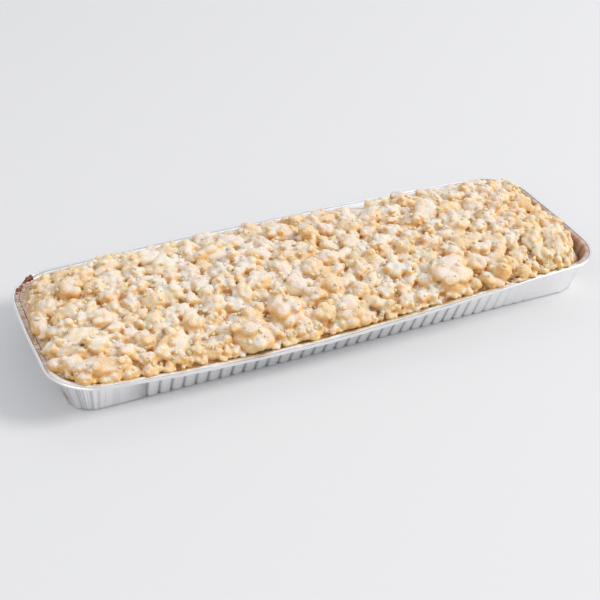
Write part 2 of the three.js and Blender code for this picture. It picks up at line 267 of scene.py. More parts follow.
def ring_stations(long_places, end_places, corner_steps):
    """The stations of a ring, anticlockwise from the left end of the front side: which
    quarter each lies in, how far along its side, and how far round its corner."""
    rows = []
    for quarter in range(4):
        for place in end_places if quarter % 2 else long_places:
            rows.append((quarter, place, 0))
        for step in range(1, corner_steps):
            rows.append((quarter, 1, step / corner_steps))
    return np.array(rows, float)


def plain_stations(long_steps, end_steps, corner_steps):
    """The stations of a ring with evenly spaced places along each side."""
    sides = (np.linspace(-1, 1, steps + 1) for steps in (long_steps, end_steps))
    return ring_stations(*sides, corner_steps)


def ring_plan(stations, inset, end_gap=0):
    """The plan of a ring of the tray at an inset, which may differ from station to station."""
    quarter, place, turn = stations.T
    inset = np.broadcast_to(np.asarray(inset, float), quarter.shape)
    half_long = LENGTH / 2 - inset - end_gap
    half_wide = WIDTH / 2 - inset
    radius = np.maximum(CORNER_RADIUS - inset, LEAST_CORNER_RADIUS)
    on_end = quarter % 2 == 1
    along = np.where(on_end, half_wide, half_long) - radius
    out = np.where(on_end, half_long, half_wide)
    angle = turn * math.pi / 2
    forward = place * along + radius * np.sin(angle)
    outward = out - radius * (1 - np.cos(angle))
    x = np.choose(quarter.astype(int), [forward, outward, -forward, -outward])
    y = np.choose(quarter.astype(int), [-outward, forward, outward, -forward])
    return np.stack([x, y], axis=1)


def lifted(plan, height):
    """Points over a plan, all at one height or each at its own."""
    return np.column_stack([plan, np.broadcast_to(np.asarray(height, float), len(plan))])


def ring_points(stations, inset, height):
    return bent(lifted(ring_plan(stations, inset), height))


def loft(rings):
    """Points and faces of a closed surface through rings of equal length, capped by fans."""
    count = len(rings[0])
    points = np.concatenate([*rings, rings[0].mean(0)[None], rings[-1].mean(0)[None]])
    here = np.arange(count)
    after = (here + 1) % count
    quads = np.concatenate([
        np.stack([k + here, k + after, k + count + after, k + count + here], axis=1)
        for k in range(0, count * (len(rings) - 1), count)
    ])
    top = count * (len(rings) - 1)
    first, last = len(points) - 2, len(points) - 1
    under = np.stack([np.full(count, first), after, here], axis=1)
    over = np.stack([np.full(count, last), top + here, top + after], axis=1)
    return points, [quads, under, over]


def inset_of(x, y):
    """How far in a point lies, as the heap's insets are measured."""
    past_x = abs(x) - (LENGTH / 2 - BED_END_GAP - CORNER_RADIUS)
    past_y = abs(y) - (WIDTH / 2 - CORNER_RADIUS)
    straight = CORNER_RADIUS - np.maximum(past_x, past_y)
    round_corner = CORNER_RADIUS - np.hypot(past_x, past_y)
    return np.where((past_x > 0) & (past_y > 0), round_corner, straight)


def bed_top(x, y):
    insets, heights = zip(*BED_SECTION)
    return np.interp(inset_of(x, y), insets, heights)


def core_top(x, y):
    """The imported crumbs' own surface, a little under the bed that the crumbs stand on."""
    inset = inset_of(x, y)
    return bed_top(x, y) - CORE_DROP - CORE_EDGE_DROP * smooth_step(inset, 18, 8)


def new_object(name, data):
    made = bpy.data.objects.new(name, data)
    bpy.context.scene.collection.objects.link(made)
    return made


def make_piece(name, points, faces, material, slot, replaced, **attributes):
    """A mesh object from points in millimetres, which rides on the part's one body."""
    mesh = bpy.data.meshes.new(name)
    mesh.vertices.add(len(points))
    mesh.vertices.foreach_set("co", (np.asarray(points) * MM).astype(np.float32).ravel())
    counts = np.concatenate([np.full(len(part), part.shape[1]) for part in faces])
    corners = np.concatenate([part.ravel() for part in faces]).astype(np.int32)
    mesh.loops.add(len(corners))
    mesh.loops.foreach_set("vertex_index", corners)
    mesh.polygons.add(len(counts))
    starts = np.concatenate([[0], np.cumsum(counts)[:-1]]).astype(np.int32)
    mesh.polygons.foreach_set("loop_start", starts)
    mesh.update(calc_edges=True)
    mesh.polygons.foreach_set("use_smooth", np.full(len(counts), True))
    for label, values in attributes.items():
        layer = mesh.attributes.new(label, "FLOAT", "POINT")
        layer.data.foreach_set("value", np.asarray(values, np.float32))
    mesh.materials.append(material)
    piece = new_object(name, mesh)
    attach(piece, "root")
    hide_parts(replaced)


def ball(cuts):
    """Directions and four-sided faces of a ball made from a cube cut into a grid."""
    shape = bmesh.new()
    bmesh.ops.create_cube(shape, size=2)
    bmesh.ops.subdivide_edges(shape, edges=shape.edges[:], cuts=cuts, use_grid_fill=True)
    shape.verts.index_update()
    points = np.tan(np.array([corner.co for corner in shape.verts]) * math.pi / 4)
    faces = np.array([[corner.index for corner in face.verts] for face in shape.faces])
    shape.free()
    return points / np.linalg.norm(points, axis=1)[:, None], faces


def lump(directions, rng, core, blobs, flats):
    """How far a crumb of mean radius 1 reaches in each direction: a core with smaller blobs
    pressed on, broken off flat here and there."""
    centres = rng.normal(size=(blobs, 3))
    centres *= (rng.uniform(*BLOB_REACH, blobs) / np.linalg.norm(centres, axis=1))[:, None]
    radii = rng.uniform(*BLOB_RADIUS, blobs)
    along = directions @ centres.T
    inside = along**2 - (centres**2).sum(1) + radii**2
    reach = np.where(inside > 0, along + np.sqrt(np.maximum(inside, 0)), 0)
    reach = np.column_stack([reach, np.full(len(directions), core)])
    reach = np.log(np.exp(BLOB_JOIN * reach).sum(1)) / BLOB_JOIN
    ways = rng.normal(size=(flats, 3))
    ways /= np.linalg.norm(ways, axis=1)[:, None]
    facing = np.maximum(directions @ ways.T, 0.05)
    limits = rng.uniform(*FLATS_AT, flats) * reach.mean() / facing
    every = np.column_stack([reach, limits])
    reach = -np.log(np.exp(-FLAT_JOIN * every).sum(1)) / FLAT_JOIN
    return reach / reach.mean()


def fused(parts, voxel):
    """One surface of four-sided faces round many overlapping closed meshes."""
    mesh = bpy.data.meshes.new("fusing")
    points = np.concatenate([part[0] for part in parts])
    starts = np.cumsum([0] + [len(part[0]) for part in parts])
    faces = [face + start for part, start in zip(parts, starts) for face in part[1]]
    mesh.from_pydata(points.tolist(), [], [row for face in faces for row in face.tolist()])
    piece = new_object("fusing", mesh)
    remesh = piece.modifiers.new("fuse", "REMESH")
    remesh.mode = "VOXEL"
    remesh.voxel_size = voxel
    result = piece.evaluated_get(bpy.context.evaluated_depsgraph_get()).to_mesh()
    points = np.empty(3 * len(result.vertices), np.float32)
    result.vertices.foreach_get("co", points)
    corners = np.empty(len(result.loops), np.int32)
    result.loops.foreach_get("vertex_index", corners)
    bpy.data.objects.remove(piece)
    bpy.data.meshes.remove(mesh)
    return points.reshape(-1, 3).astype(float), corners.reshape(-1, 4)


def kept(points, quads, chosen):
    """The chosen faces and their points, numbered anew, with each point's old number."""
    quads = quads[chosen]
    used, corners = np.unique(quads, return_inverse=True)
    return points[used], corners.reshape(-1, 4), used


def main_part(count, quads):
    """Which faces belong to the largest of the surface's separate parts."""
    label = np.arange(count)
    while True:
        lowest = label[quads].min(axis=1)
        found = label.copy()
        for corner in quads.T:
            np.minimum.at(found, corner, lowest)
        found = found[found]
        if (found == label).all():
            break
        label = found
    return label[quads[:, 0]] == np.bincount(label).argmax()


def directed_edges(quads):
    return np.concatenate([quads[:, [k, (k + 1) % 4]] for k in range(4)])


def relaxed(points, quads, times):
    """Points drawn a number of times halfway to the mean of their neighbours."""
    edges = directed_edges(quads)
    here, there = np.concatenate([edges, edges[:, ::-1]]).T
    count = np.bincount(here, minlength=len(points))
    for _ in range(times):
        mean = [np.bincount(here, points[there, axis], len(points)) / count for axis in range(3)]
        points = points + 0.5 * (np.stack(mean, axis=1) - points)
    return points


def normals_of(points, quads):
    first, second, third, fourth = (points[quads[:, k]] for k in range(4))
    facing = np.cross(third - first, fourth - second)
    total = np.zeros_like(points)
    for corner in quads.T:
        for axis in range(3):
            total[:, axis] += np.bincount(corner, facing[:, axis], len(points))
    return total / np.maximum(np.linalg.norm(total, axis=1), 1e-9)[:, None]


def closed_below(points, quads, height):
    """The piece closed by walls down from its open edge and by a fan at a given height."""
    edges = directed_edges(quads)
    keys = edges[:, 0] * len(points) + edges[:, 1]
    reverse = edges[:, 1] * len(points) + edges[:, 0]
    rim = edges[~np.isin(keys, reverse)]
    used, ends = np.unique(rim, return_inverse=True)
    ends = ends.reshape(-1, 2) + len(points)
    foot = points[used] * (1, 1, 0) + (0, 0, height)
    skirt = np.column_stack([rim[:, 1], rim[:, 0], ends[:, 0], ends[:, 1]])
    middle = len(points) + len(used)
    fan = np.column_stack([ends[:, 1], ends[:, 0], np.full(len(rim), middle)])
    return np.concatenate([points, foot, foot.mean(axis=0)[None]]), [quads, skirt, fan]


# ---- Materials ----


class Shader:
    """A material's node tree, with short calls for the nodes used here."""

    def __init__(self, name):
        self.material = bpy.data.materials.new(name)
        self.material.use_nodes = True
        self.tree = self.material.node_tree
        self.surface = self.tree.nodes["Principled BSDF"]
        self.place = self.node("ShaderNodeTexCoord").outputs["Object"]

    def node(self, kind, inputs=(), **settings):
        made = self.tree.nodes.new(kind)
        for label, value in settings.items():
            setattr(made, label, value)
        for label, value in dict(inputs).items():
            self.put(made.inputs[label], value)
        return made

    def put(self, socket, value):
        """Links a socket to another node's output, or sets its value."""
        if isinstance(value, bpy.types.NodeSocket):
            self.tree.links.new(value, socket)
        else:
            socket.default_value = value

    def set(self, **values):
        """Sets or links the surface's own sockets."""
        for label, value in values.items():
            self.put(self.surface.inputs[label.replace("_", " ")], value)

    def attribute(self, name):
        return self.node("ShaderNodeAttribute", attribute_name=name).outputs["Fac"]

    def noise(self, size, detail=2.0, roughness=0.5, place=None):
        """Noise whose features are about size millimetres across."""
        inputs = {"Vector": place or self.place, "Scale": 1 / (size * MM)}
        inputs |= {"Detail": detail, "Roughness": roughness}
        return self.node("ShaderNodeTexNoise", inputs).outputs["Fac"]

    def math(self, operation, first, second=0.0, third=0.0, clamped=False):
        inputs = {0: first, 1: second, 2: third}
        return self.node("ShaderNodeMath", inputs, operation=operation, use_clamp=clamped).outputs[0]

    def times(self, first, second):
        return self.math("MULTIPLY", first, second)

    def ramp(self, value, low, high, to_low=0.0, to_high=1.0):
        """A value taken from one range to another, smoothly."""
        inputs = {"Value": value, "From Min": low, "From Max": high, "To Min": to_low, "To Max": to_high}
        return self.node("ShaderNodeMapRange", inputs, interpolation_type="SMOOTHSTEP").outputs["Result"]

    def mix(self, share, first, second):
        """One colour taken to another by a share."""
        return self.node("ShaderNodeMix", {0: share, 6: first, 7: second}, data_type="RGBA").outputs[2]

    def upward(self):
        """How far the surface faces up: 1 on top, 0 on upright sides."""
        normal = self.node("ShaderNodeNewGeometry").outputs["Normal"]
        return self.node("ShaderNodeSeparateXYZ", {0: normal}).outputs["Z"]

    def bump(self, height, distance, strength=1.0, under=None):
        inputs = {"Height": height, "Distance": distance * MM, "Strength": strength}
        if under is not None:
            inputs["Normal"] = under
        return self.node("ShaderNodeBump", inputs).outputs["Normal"]


# Colours, as red, green, blue and 1.
CREAM = (0.745, 0.59, 0.352, 1)
GOLDEN = (0.695, 0.4, 0.13, 1)
# Painted shade for the crumbs' creases and hollows.
PAINTED_CREVICE_SHADE = (0.6, 0.275, 0.078, 1)
SUGAR = (0.71, 0.683, 0.665, 1)
CRUST = (0.55, 0.34, 0.18, 1)
CRUST_BROWNED = (0.36, 0.18, 0.08, 1)
CRUST_SUGARED = (0.72, 0.66, 0.6, 1)
BURNT_RED = (0.27, 0.075, 0.02, 1)
BURNT_DARK = (0.07, 0.022, 0.012, 1)
FOIL = (0.91, 0.912, 0.918, 1)
# Painted shade and painted dark reflections on the foil.
FOIL_SHADED = (0.42, 0.43, 0.45, 1)
# Baked-on brown; on the lining partly painted reflection of the crumbs and dough.
FOIL_STAIN_AND_REFLECTION = (0.38, 0.215, 0.13, 1)
PALE = (0.66, 0.655, 0.66, 1)


def streusel_material():
    """Baked butter crumbs: pale gold, grainy, with icing sugar on what faces up and lies open to the
    sky. Painted shade makes their sides more golden, and makes them more orange low between them,
    in their creases and hollows."""
    shader = Shader("baked_streusel")
    mottle = shader.ramp(shader.noise(6, 3), 0.35, 0.7)
    tone = shader.times(shader.attribute("tone"), 0.75)
    tone = shader.math("ADD", tone, shader.times(mottle, 0.3))
    # Painted shade: sides and undersides are made more golden than the tops.
    tone = shader.math("ADD", tone, shader.ramp(shader.upward(), 0.0, 0.8, 0.42, 0.0), clamped=True)
    base = shader.mix(tone, CREAM, GOLDEN)
    # Painted shade: creases, hollows and what lies under its surroundings go towards the crevice shade
    # colour.
    base = shader.mix(shader.attribute("low"), base, PAINTED_CREVICE_SHADE)
    fine = shader.noise(0.8, 2, 0.7)
    up = shader.ramp(shader.upward(), 0.4, 0.95)
    amount = shader.times(shader.attribute("sugar"), up)
    patches = shader.ramp(shader.noise(15, 3), 0.35, 0.62, 0.4, 1.35)
    amount = shader.times(amount, patches)
    gate = shader.math("MULTIPLY_ADD", fine, 3.6, shader.math("MULTIPLY_ADD", amount, 1.3, -1.68))
    grainy = shader.ramp(shader.noise(1.0, 1), 0.4, 0.58, 0.5, 1.0)
    dusting = shader.times(shader.ramp(gate, 0.15, 1.05, 0.0, 0.95), grainy)
    shader.set(
        Base_Color=shader.mix(dusting, base, SUGAR),
        Roughness=0.85,
        Specular_IOR_Level=0.3,
        Subsurface_Weight=0.5,
        Subsurface_Radius=(1.0, 0.45, 0.18),
        Subsurface_Scale=0.005,
        Normal=shader.bump(shader.noise(1.1, 3, 0.7), 0.4, 0.6),
    )
    return shader.material


def dough_material():
    """The baked edge of the dough: tan, browned in patches, with a little sugar fallen on it."""
    shader = Shader("baked_dough")
    browned = shader.ramp(shader.noise(9, 3), 0.4, 0.68)
    base = shader.mix(browned, CRUST, CRUST_BROWNED)
    up = shader.ramp(shader.upward(), 0.1, 0.8)
    gate = shader.math("ADD", shader.noise(1.0, 3, 0.65), shader.times(up, 0.05))
    shader.set(
        Base_Color=shader.mix(shader.ramp(gate, 0.53, 0.66), base, CRUST_SUGARED),
        Roughness=0.75,
        Normal=shader.bump(shader.noise(1.6, 4, 0.65), 0.5, 0.8),
    )
    return shader.material


def caramel_material():
    """Sugar and butter that ran to the edge and baked dark."""
    shader = Shader("caramelised_bits")
    shader.set(
        Base_Color=shader.mix(shader.ramp(shader.noise(1.5, 3), 0.35, 0.65), BURNT_RED, BURNT_DARK),
        Roughness=0.45,
        Normal=shader.bump(shader.noise(0.8, 3), 0.3, 0.6),
    )
    return shader.material


def foil_material():
    """Thin pressed aluminium: satin, with fine upright wrinkles, browned where the bake touched it
    and dusted with sugar on its flange. On the lining the brown is partly painted reflection of
    the crumbs and dough. Painted shade darkens its flutes' grooves and its flange's seam, and
    painted dark reflections streak the wrinkles at its corners."""
    shader = Shader("pressed_foil")
    plan = {0: shader.attribute("plan_x"), 1: shader.attribute("plan_y")}
    upright = shader.node("ShaderNodeCombineXYZ", plan).outputs[0]
    streaks = shader.noise(4.5, 1, 0.5, upright)
    from_middle = shader.math("ABSOLUTE", shader.math("SUBTRACT", streaks, 0.5))
    # Painted dark reflections: thin lines along the wrinkles at the corners.
    line = shader.ramp(from_middle, 0.0, 0.05, 0.6, 0.0)
    stain = shader.times(shader.attribute("stain"), shader.ramp(streaks, 0.3, 0.6, 0.6, 1.0))
    painted_wrinkle_reflections = shader.times(shader.attribute("corner"), line)
    # Painted shade in the grooves and along the flange's seam, and painted dark reflections on the corner
    # wrinkles.
    shade = shader.math("MAXIMUM", shader.attribute("groove"), painted_wrinkle_reflections)
    base = shader.mix(stain, shader.mix(shade, FOIL, FOIL_SHADED), FOIL_STAIN_AND_REFLECTION)
    gate = shader.math("MULTIPLY_ADD", shader.attribute("dust"), 0.5, shader.noise(0.9, 2, 0.7))
    dust = shader.ramp(gate, 0.66, 0.8)
    bare_metal = shader.ramp(stain, 0.0, 1.0, 1.0, 0.25)
    dents = shader.bump(shader.noise(16, 2), 0.12, 0.5)
    shader.set(
        Base_Color=shader.mix(dust, base, SUGAR),
        Metallic=shader.times(bare_metal, shader.ramp(dust, 0.0, 1.0, 1.0, 0.0)),
        Roughness=shader.ramp(stain, 0.0, 1.0, 0.27, 0.5),
        Normal=shader.bump(streaks, 0.06, 0.5, dents),
    )
    return shader.material


def floor_material():
    shader = Shader("pale_floor")
    shader.set(Base_Color=PALE, Roughness=0.6, Specular_IOR_Level=0.3)
    return shader.material


# ---- Foil tray ----


def groove_depth(share):
    """The scallop's profile: a low arch, then a narrow V at the groove where share is 1."""
    return ARCH_SHARE * share**2 + (1 - ARCH_SHARE) * max(0, 1 - (1 - share) / GROOVE_WIDTH)


def fluted_places(straight, count):
    """Places along a fluted side, and how deep each lies in a groove, from 0 to 1."""
    across = [step - 1 for step in FLUTE_STEPS[:-1]] + [1 - step for step in FLUTE_STEPS[:0:-1]]
    half = FLUTE_PITCH / 2
    start = -count * half
    # Beyond the outermost grooves the V comes up to the plain wall.
    leading = FLUTE_STEPS[3:-1]
    places = [-straight / 2] + [start + (step - 1) * half for step in leading]
    depths = [0.0] + [groove_depth(step) * (step > 1 - GROOVE_WIDTH) for step in leading]
    for flute in range(count):
        for step in across:
            places.append(start + (flute + 0.5) * FLUTE_PITCH + step * half)
            depths.append(groove_depth(abs(step)))
    places += [-start] + [-place for place in places[len(leading)::-1]]
    depths += [1.0] + depths[len(leading)::-1]
    return np.array(places) / (straight / 2), np.array(depths)


def inset_at(insets, height):
    return insets[0] + (insets[1] - insets[0]) * height / HEIGHT


def arc(centre, radius, start, end, count):
    """Points on an arc in section: inset and depth below the rim's top. At 0 degrees it is
    on the side away from the tray, and at 90 degrees on top."""
    angles = np.radians(np.linspace(start, end, count))
    return [(centre[0] - radius * math.cos(a), centre[1] - radius * math.sin(a)) for a in angles]


def baked_stain(points, on_flange, on_lining):
    """How browned the foil is: its lining least where it is bare, its flange at the ends. The lining's
    brown is partly baked on and partly painted reflection of the crumbs and dough.
    """
    x, y, _ = points.T
    left_end, right_end = smooth_step(-x, *LEFT_END), smooth_step(x, *RIGHT_END)
    clean = np.where(y > 0, 0.6 * bare(x), 0.35 * smooth_step(-y, 45, 60))
    # The lining's brown: partly baked on, partly painted reflection of the crumbs and dough.
    stain = on_lining * (0.6 + 0.4 * np.maximum(left_end, right_end) - clean)
    stain += on_flange * (left_end * smooth_step(y, -60, -35) + 0.9 * smooth_step(x, 150, 176))
    scorched = np.linalg.norm((points - SCORCH_AT) / SCORCH_REACH, axis=1)
    return clamp(stain + 1.2 * np.exp(-scorched**2))


def flange_dust(points):
    """How much sugar lies on the flange: most at the left end and where it was spilt."""
    x, y, _ = points.T
    front_left = smooth_step(-x, 90, 170) * smooth_step(-y, 30, 55)
    spilt = sum(np.exp(-((x - place) / reach)**2) for place, reach in SPILT_AT) * (y < 0)
    return clamp(0.3 * smooth_step(-x, *LEFT_END) + 0.35 * front_left + 0.6 * spilt)


def foil_tray():
    """The tray as one closed surface: from the middle of its underside up its wall, over its
    rim and down its lining."""
    long_places, long_depths = fluted_places(LENGTH - 2 * CORNER_RADIUS, FLUTES_LONG)
    end_places, end_depths = fluted_places(WIDTH - 2 * CORNER_RADIUS, FLUTES_END)
    stations = ring_stations(long_places, end_places, FOIL_CORNER_STEPS)
    plain_corner = np.zeros(FOIL_CORNER_STEPS - 1)
    depths = np.concatenate([long_depths, plain_corner, end_depths, plain_corner] * 2)
    outline = ring_plan(stations, 0)
    far_x, far_y = abs(outline.T)
    at_corner = smooth_step(np.hypot(np.maximum(far_x - 150, 0), np.maximum(far_y - 25, 0)), 2, 22)
    at_corner *= smooth_step(far_x, 145, 175)
    # The flutes are pressed less deep towards the right of the front.
    on_front = stations[:, 0] == 0
    depths *= 1 - 0.5 * smooth_step(outline[:, 0], 60, 150) * on_front
    rings = []

    def crinkled(inset, height, amount):
        """An inset with the corner's upright wrinkles and shallow dents."""
        spot = lifted(outline, height)
        wrinkles = lattice_noise(spot * (1, 1, 0.1), 4.2, 3) * (0.05 + 0.6 * at_corner)
        dents = lattice_noise(spot, 18, 5) * 0.12
        return inset - amount * (wrinkles + dents)

    def add_wall(height, sunk, amount=1.0, proud=0.0):
        inset = inset_at(WALL_INSET, height) - proud + sunk * depths
        rings.append(ring_points(stations, crinkled(inset, height, amount), height))

    for within, height in BASE_SECTION:
        sunk = FLUTE_DEPTH[0] * depths * (within < 3)
        rings.append(ring_points(stations, WALL_INSET[0] + within + sunk, height))
    add_wall(0.35, FLUTE_DEPTH[0], proud=-0.55)
    add_wall(1.0, FLUTE_DEPTH[0], proud=-0.15)
    for height in np.linspace(2, FLUTE_TOP - 0.8, 13):
        share = height / FLUTE_TOP
        add_wall(height, FLUTE_DEPTH[0] + (FLUTE_DEPTH[1] - FLUTE_DEPTH[0]) * share)
    add_wall(FLUTE_TOP, 0.8)
    fluted = range(len(BASE_SECTION), len(rings))
    add_wall(FLUTE_TOP + 0.5, 0.0, proud=0.22)
    add_wall(HEIGHT - 3.9, 0.0, 0.8, proud=0.25)

    flat = lifted(outline, 0)
    wave = lattice_noise(flat, 24, 9) * 0.3 + lattice_noise(flat, 6, 11) * 0.12
    bead = arc(BEAD_CENTRE, BEAD_RADIUS, -70, 120, 12)
    for inset, below in UNDER_BEAD + bead + FLANGE_SECTION:
        rings.append(ring_points(stations, inset - wave * (inset < 5), HEIGHT - below - 0.3 * wave))
    flange = range(len(rings) - len(FLANGE_SECTION), len(rings))
    pushed_in = bare(outline[:, 0]) * (outline[:, 1] > 60)
    for height, push in LINING_SECTION:
        inset = crinkled(inset_at(LINING_INSET, height), height, 0.8) + push * pushed_in
        rings.append(ring_points(stations, inset, height))
    lining = range(flange.stop, len(rings))
    rings.append(ring_points(stations, inset_at(LINING_INSET, FLOOR), FLOOR))
    points, faces = loft(rings)

    def on_rings(values):
        """A value of each station, the same on every ring, and 0 in the middle of both caps."""
        return np.append(np.tile(values, len(rings)), [0, 0])

    ring_of = np.append(np.repeat(np.arange(len(rings)), len(stations)), [0, len(rings)])
    on_flange, on_lining, on_flutes = (np.isin(ring_of, part) for part in (flange, lining, fluted))
    # Where painted dark reflections streak the wrinkles at the corners.
    wrinkle_reflection_mask = at_corner * smooth_step(far_x, 160, 180) * (0.35 + 0.65 * (outline[:, 0] < 0))
    make_piece(
        "foil_shell", points, faces, foil_material(), "foil", "foil_tray",
        # Brown that is baked on, and on the lining partly painted reflection of the crumbs and dough.
        stain=baked_stain(points, on_flange, on_lining),
        dust=on_flange * flange_dust(points),
        # Painted shade in the flutes' grooves and along the flange's seam.
        groove=on_rings(smooth_step(depths, 0.5, 1.0)) * on_flutes + (ring_of == flange[1]),
        corner=on_rings(wrinkle_reflection_mask) * on_flutes,
        plan_x=on_rings(outline[:, 0] * MM),
        plan_y=on_rings(outline[:, 1] * MM),
    )


# ---- Dough ----


def dough_edge():
    """The baked dough: its flanks follow the lining. Its shoulder laps over the flange's edge
    at the left end, and has shrunk from the lining at the right end."""
    stations = plain_stations(300, 90, 40)
    outline = ring_plan(stations, 8)
    at_left = smooth_step(-outline[:, 0], 168, 186) * smooth_step(outline[:, 1], -58, -40)
    at_right = smooth_step(outline[:, 0], 160, 184)
    rings = []
    for gap, height, on_left, on_right in DOUGH_SECTION:
        heights = height + at_left * (on_left - height) + at_right * (on_right - height)
        lapped = gap - DOUGH_LAP * at_left * (0.5 < gap < 7)
        ring = ring_points(stations, inset_at(LINING_INSET, heights) + lapped, heights)
        rough = 0.55 * lattice_noise(ring, 4.5, 21) + 0.3 * lattice_noise(ring, 1.9, 22)
        ring[:, 2] += smooth_step(height, 18, 22) * rough
        rings.append(ring)
    points, faces = loft(rings)
    make_piece("dough_crust", points, faces, dough_material(), "crust", "dough")


# ---- Streusel ----


def scatter_crumbs():
    """All crumbs, by the rule and the draws that the solids have."""
    random = make_random(CRUMB_SEED)
    rows = [list(row) for row in LARGE_CRUMBS]
    for start, end, tries, spacing in CRUMB_SIZES:
        for i in range(tries):
            x = random(-0.5, 0.5) * LENGTH
            y = random(-0.5, 0.5) * WIDTH
            radius = start + (end - start) * i / tries
            if inset_of(x, y) < TO_EDGE + radius:
                continue
            placed = np.array(rows)
            apart = np.hypot(placed[:, 0] - x, placed[:, 1] - y)
            if (apart <= spacing * (radius + (placed[:, 2] + placed[:, 3]) / 2)).any():
                continue
            stretch = random(1, STRETCH)
            rows.append([x, y, radius * stretch, radius / stretch, random(0, 180)])
    x, y, long, wide, turn = np.array(rows).T
    high = np.minimum(FLATNESS * wide, MOST_HIGH)
    foot = bed_top(x, y) - SUNK * high
    return np.stack([x, y, long, wide, np.radians(turn), high, foot], axis=1)


class HeightMap:
    """The heap's height over its plan, on a fine grid."""

    STEP = 0.5
    MARGIN = 12

    def __init__(self):
        self.low = np.array([-LENGTH / 2 - self.MARGIN, -WIDTH / 2 - self.MARGIN])
        x, y = np.meshgrid(*(np.arange(low, -low, self.STEP) for low in self.low), indexing="ij")
        inside = inset_of(x, y) > BED_SECTION[0][0]
        self.height = np.where(inside, core_top(x, y), BED_FOOT[1])
        self.tone = np.full(self.height.shape, 0.5)

    def cell(self, points):
        place = np.round((points[:, :2] - self.low) / self.STEP).astype(int)
        return np.minimum(np.maximum(place, 0), np.array(self.height.shape) - 1)

    def at(self, points, heights=None):
        """The map's height at each point, or that of a map made from it."""
        column, row = self.cell(points).T
        return (self.height if heights is None else heights)[column, row]

    def raise_to(self, points, tones=None):
        """Lifts the map to points that stand above it, and keeps the tone of what is on top."""
        column, row = self.cell(points).T
        np.maximum.at(self.height, (column, row), points[:, 2])
        if tones is not None:
            on_top = self.height[column, row] == points[:, 2]
            self.tone[column[on_top], row[on_top]] = tones[on_top]

    def blurred(self, reach, result=None):
        """The map averaged over a square of a given half width."""
        count = int(reach / self.STEP)
        result = self.height if result is None else result
        for axis in (0, 1):
            padded = np.concatenate([
                np.repeat(result.take([0], axis), count + 1, axis), result,
                np.repeat(result.take([-1], axis), count, axis)], axis)
            sums = np.cumsum(padded, axis)
            size = 2 * count + 1
            high = sums.take(range(size, sums.shape[axis]), axis)
            low = sums.take(range(0, sums.shape[axis] - size), axis)
            result = (high - low) / size
        return result


def sight_limit(x, y):
    """How high crumbs may stand at a place, so that the back rim is seen over them."""
    to_rim = WIDTH / 2 - LINING_INSET[1] - y
    uneven = 1.1 * lattice_noise([(x, 0, 0)], 21, 61)[0]
    raised = sum(lift * np.exp(-((x - place) / RAISED_REACH)**2) for place, lift in RAISED_AT)
    bared = BARE_DROP * bare(x + SIGHT_SLANT * to_rim)
    return SIGHT_HEIGHT + SIGHT_RISE * to_rim + uneven + raised - bared


def bare(x):
    """How bare of crumbs and stains the back of the tray's lining is, from 0 to 1."""
    return clamp(sum(np.exp(-((x - place) / reach)**4) for place, reach in BARE_AT))


def drawn_in(points):
    """The heap's points once it has shrunk from two of the tray's corners and from the middle
    of its front, and spread at its left end and over the flange at the front right."""
    x, y, z = points.T
    to_front = smooth_step(-y, 28, 52)
    right = smooth_step(x, 150, 188) * (SHRUNK_FRONT_RIGHT * to_front - SPREAD_RIGHT)
    left = SHRUNK_BACK_LEFT * smooth_step(y, 28, 45) - SPREAD_LEFT * smooth_step(-y, -24, -4)
    left *= smooth_step(-x, 150, 186)
    front = SHRUNK_FRONT * np.exp(-((x + 25) / 45)**2) - SPREAD_FRONT_RIGHT * smooth_step(x, 92, 125)
    front *= smooth_step(-y, 25, 58) * smooth_step(-x, -186, -168)
    over_foil = smooth_step(z, 27.3, 29.5)
    front = np.where(front < 0, front * over_foil, front)
    return np.column_stack([x - right + left, y + front, z])


def held_in(points):
    """The heap's points, kept inside the tray's lining where they lie below its flange."""
    plan, z = points[:, :2], points[:, 2]
    past = np.maximum(abs(plan) - (LENGTH / 2 - CORNER_RADIUS, WIDTH / 2 - CORNER_RADIUS), 0)
    least = (inset_at(LINING_INSET, z) + 0.15) * (1 - smooth_step(z, 28.0, 28.9))
    share = np.minimum(1, (CORNER_RADIUS - least) / np.maximum(np.hypot(*past.T), 1e-6))
    return np.column_stack([plan - np.sign(plan) * past * (1 - share)[:, None], z])


def settled(points):
    """Where the heap's points lie in the bent tray."""
    return bent(held_in(drawn_in(points)))


def sized_crumbs(crumbs, cuts, core, blobs, rng):
    """One mesh of many crumbs, each of its own shape: points, faces and each point's tone."""
    directions, faces = ball(cuts)
    all_points, all_faces, tones = [], [], []
    for x, y, long, wide, turn, high, foot in crumbs:
        count = rng.integers(*blobs)
        reach = lump(directions, rng, core + rng.uniform(-0.05, 0.08), count, rng.integers(1, 3))
        foot = min(foot, sight_limit(x, y) - 0.6 * high)
        high = min(high, (sight_limit(x, y) - foot) / 1.25)
        tall = 0.9 * high
        points = directions * reach[:, None]
        down = np.where(points[:, 2] > 0, tall, max(tall, wide))
        points *= np.column_stack([np.full(len(points), long), np.full(len(points), wide), down])
        tilts = rng.uniform(-0.2, 0.2, 2)
        points = points @ np.array(Euler((*tilts, turn)).to_matrix()).T
        points += (x, y, foot + 1.12 * high - tall)
        relief = 0.3 * knobbly(points, 5.2, 31) + 0.1 * knobbly(points, 2.6, 32)
        points += directions * (min(1.0, wide / 6) * relief)[:, None]
        all_faces.append(faces + len(directions) * len(all_points))
        all_points.append(points)
        tones.append(np.full(len(points), rng.uniform(0, 1) ** 1.3))
    return np.concatenate(all_points), [np.concatenate(all_faces)], np.concatenate(tones)


def crumb_library(rng, count, cuts, core, blobs):
    """Different small crumbs of mean radius 1, and the faces that all of them have."""
    directions, faces = ball(cuts)
    reaches = [lump(directions, rng, core, rng.integers(*blobs), 4) for _ in range(count)]
    return np.array([directions * reach[:, None] for reach in reaches]), faces


